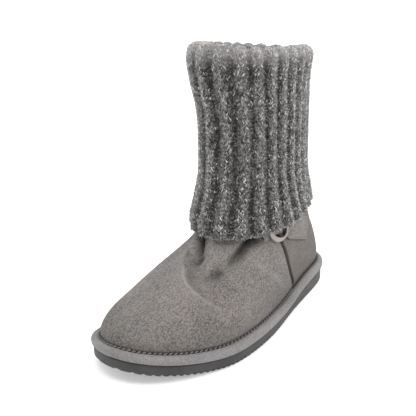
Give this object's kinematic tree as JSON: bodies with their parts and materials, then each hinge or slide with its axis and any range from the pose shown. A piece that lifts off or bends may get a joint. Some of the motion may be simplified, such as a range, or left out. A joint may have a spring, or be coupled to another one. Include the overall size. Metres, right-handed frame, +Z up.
{
  "type": "knee-high boot",
  "caption": "Pull-on suede boot for the left foot, with a flat lugged sole, a rolled side band, a ring at the ankle and a rib-knit shaft folded down outside.",
  "frame": {"origin": "on the floor, under the middle of the boot's outline", "axes": "-Y towards the toe, +Y towards the heel, +X towards the outer side of the foot, +Z up"},
  "size_m": [0.1108, 0.2792, 0.2386],
  "materials": {
    "outsole_rubber": "matt",
    "band_suede": "soft nap",
    "fleece": "fleece pile",
    "upper_suede": "soft nap",
    "rib_knit": "marled wool rib knit",
    "ring_metal": "satin"
  },
  "bodies": {
    "root": {"outsole": "outsole_rubber", "side_band": "band_suede", "insole": "fleece", "upper": "upper_suede", "knit_shaft": "rib_knit", "ankle_ring": "ring_metal", "rear_tab": "upper_suede", "front_tab": "upper_suede"}
  },
  "joints": []
}
